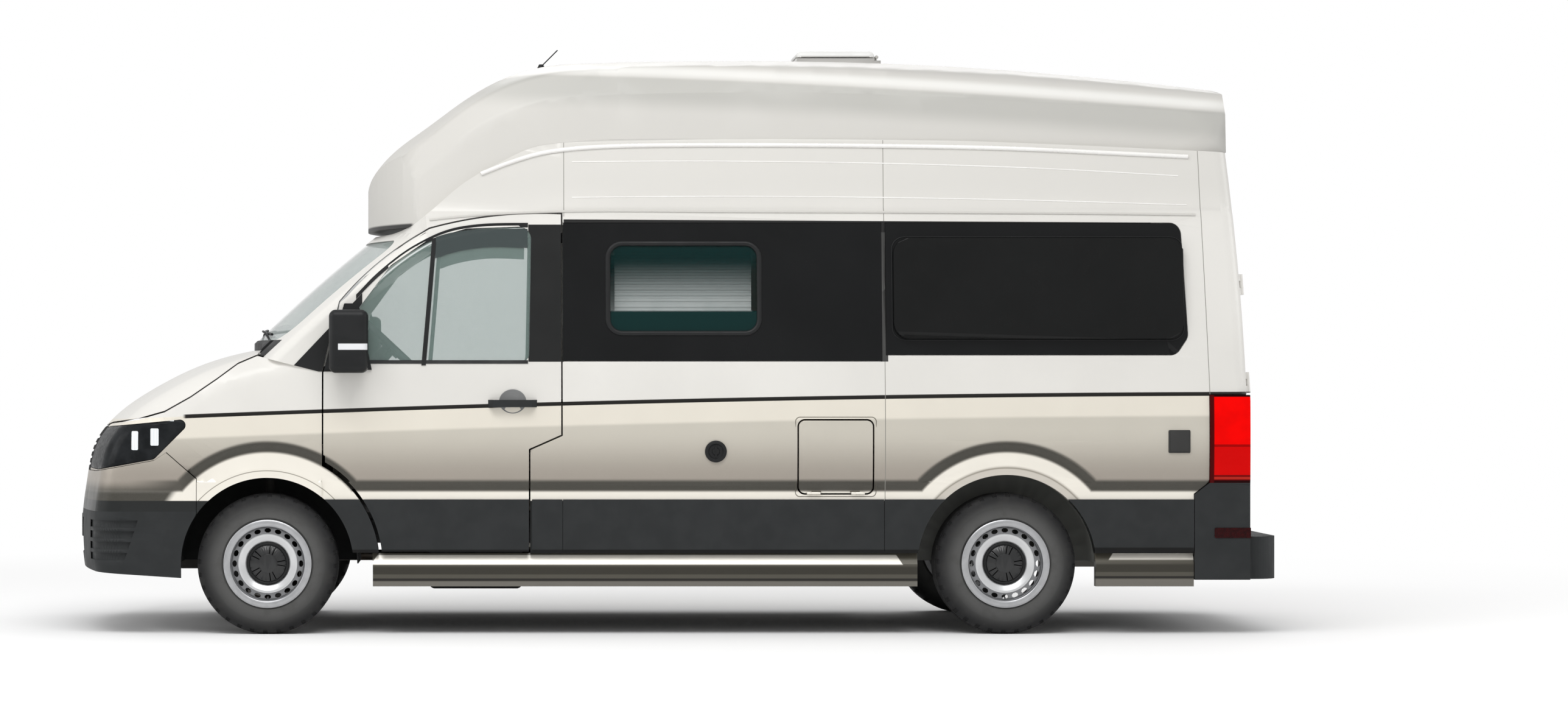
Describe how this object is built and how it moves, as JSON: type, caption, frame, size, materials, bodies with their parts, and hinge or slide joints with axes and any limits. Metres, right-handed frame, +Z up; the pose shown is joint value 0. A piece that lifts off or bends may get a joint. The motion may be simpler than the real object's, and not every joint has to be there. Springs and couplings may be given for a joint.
{
  "type": "camper van",
  "caption": "High-roof camper van with a moulded roof shell, hollow living space, opening doors, hood and hatches, and steered front wheels.",
  "frame": {"origin": "on the ground under the middle of the vehicle's bounding box", "axes": "+X to the rear, so the front faces -X; -Y is the driver's side; +Z up"},
  "size_m": [5.986, 2.43, 2.9613],
  "materials": {
    "white_paint": "gloss",
    "roof_white": "gloss",
    "beige_paint": "metallic gloss",
    "dark_metal": "satin",
    "cladding": "fine grain",
    "black_gloss": "gloss",
    "grey_trim": "satin",
    "clear_glass": "clear",
    "tinted_glass": "tinted",
    "lamp_clear": "clear moulding",
    "lamp_red": "red moulding",
    "tyre_rubber": "matt",
    "wheel_steel": "silver paint",
    "bare_steel": "rolled",
    "engine_iron": "cast",
    "seat_cloth": "woven",
    "cabinet_wood": "satin laminate",
    "dash_plastic": "soft grain"
  },
  "bodies": {
    "body": {"antenna": "cladding", "bumper_lower": "cladding", "cladding": "cladding", "cab_seats": "seat_cloth", "cowl": "cladding", "dashboard": "dash_plastic", "engine_block": "engine_iron", "exhaust": "bare_steel", "front_bumper": "beige_paint", "front_fenders": "beige_paint", "front_subframe": "dark_metal", "fuel_tank": "grey_trim", "furniture": "cabinet_wood", "grille": "black_gloss", "headlamps": "lamp_clear", "living_cushions": "seat_cloth", "rear_axle": "dark_metal", "rear_bumper": "cladding", "roof_shell": "roof_white", "seat_bases": "dark_metal", "side_panel_left": "white_paint", "side_panel_right": "white_paint", "side_panes": "black_gloss", "side_windows": "tinted_glass", "sills": "beige_paint", "sliding_door": "white_paint", "tail_lamps": "lamp_red", "underbody": "dark_metal", "wheel_liners": "cladding", "window_bulges": "black_gloss", "windscreen": "clear_glass"},
    "door_left": {"door_left": "white_paint", "door_glass_left": "clear_glass", "door_trim_left": "cladding", "mirror_left": "grey_trim"},
    "door_right": {"door_right": "white_paint", "door_glass_right": "clear_glass", "door_trim_right": "cladding", "mirror_right": "grey_trim"},
    "rear_door_left": {"rear_door_left": "white_paint", "rear_glass_left": "tinted_glass"},
    "rear_door_right": {"rear_door_right": "white_paint", "rear_glass_right": "tinted_glass"},
    "hood": {"hood": "beige_paint"},
    "service_hatch": {"service_hatch": "white_paint"},
    "roof_hatch": {"roof_hatch": "grey_trim"},
    "knuckle_left": {"knuckle_left": "engine_iron"},
    "knuckle_right": {"knuckle_right": "engine_iron"},
    "wheel_front_left": {"tyre_front_left": "tyre_rubber", "rim_front_left": "wheel_steel"},
    "wheel_front_right": {"tyre_front_right": "tyre_rubber", "rim_front_right": "wheel_steel"},
    "wheel_rear_left": {"tyre_rear_left": "tyre_rubber", "rim_rear_left": "wheel_steel"},
    "wheel_rear_right": {"tyre_rear_right": "tyre_rubber", "rim_rear_right": "wheel_steel"},
    "steering_wheel": {"steering_wheel": "dash_plastic"}
  },
  "joints": [
    {"name": "door_left_hinge", "type": "hinge", "parent": "body", "child": "door_left", "pos_m": [-1.789, -0.978, 1], "axis": [0, 0, -1], "range_deg": [0, 70]},
    {"name": "door_right_hinge", "type": "hinge", "parent": "body", "child": "door_right", "pos_m": [-1.789, 0.978, 1], "axis": [0, 0, 1], "range_deg": [0, 70]},
    {"name": "rear_door_left_hinge", "type": "hinge", "parent": "body", "child": "rear_door_left", "pos_m": [2.84293, -0.91273, 1.24], "axis": [0.049, -0.0914, -0.9946], "range_deg": [0, 180]},
    {"name": "rear_door_right_hinge", "type": "hinge", "parent": "body", "child": "rear_door_right", "pos_m": [2.84293, 0.91273, 1.24], "axis": [-0.049, -0.0914, 0.9946], "range_deg": [0, 180]},
    {"name": "hood_hinge", "type": "hinge", "parent": "body", "child": "hood", "pos_m": [-1.95081, 0, 1.417], "axis": [0, 1, 0], "range_deg": [0, 55]},
    {"name": "service_hatch_hinge", "type": "hinge", "parent": "body", "child": "service_hatch", "pos_m": [0.7965, -1.015, 0.696], "axis": [1, 0, 0], "range_deg": [0, 100]},
    {"name": "roof_hatch_hinge", "type": "hinge", "parent": "body", "child": "roof_hatch", "pos_m": [1.084, 0, 2.912], "axis": [0, 1, 0], "range_deg": [0, 50]},
    {"name": "steer_left", "type": "hinge", "parent": "body", "child": "knuckle_left", "pos_m": [-2.002, -0.8, 0.19], "axis": [0, 0.1925, 0.9813], "range_deg": [-35, 35]},
    {"name": "steer_right", "type": "hinge", "parent": "body", "child": "knuckle_right", "pos_m": [-2.002, 0.8, 0.19], "axis": [0, -0.1925, 0.9813], "range_deg": [-35, 35]},
    {"name": "wheel_front_left_spin", "type": "hinge", "parent": "knuckle_left", "child": "wheel_front_left", "pos_m": [-2.002, -0.873, 0.347], "axis": [0, 1, 0], "continuous": true},
    {"name": "wheel_front_right_spin", "type": "hinge", "parent": "knuckle_right", "child": "wheel_front_right", "pos_m": [-2.002, 0.873, 0.347], "axis": [0, 1, 0], "continuous": true},
    {"name": "wheel_rear_left_spin", "type": "hinge", "parent": "body", "child": "wheel_rear_left", "pos_m": [1.638, -0.859, 0.347], "axis": [0, 1, 0], "continuous": true},
    {"name": "wheel_rear_right_spin", "type": "hinge", "parent": "body", "child": "wheel_rear_right", "pos_m": [1.638, 0.859, 0.347], "axis": [0, 1, 0], "continuous": true},
    {"name": "steering_wheel_turn", "type": "hinge", "parent": "body", "child": "steering_wheel", "pos_m": [-1.402, -0.45, 1.425], "axis": [0.682, 0, 0.7314], "range_deg": [-525, 525]}
  ],
  "couplings": [
    {"joint": "steer_right", "follows": "steer_left", "ratio": 1},
    {"joint": "steering_wheel_turn", "follows": "steer_left", "ratio": 15}
  ]
}
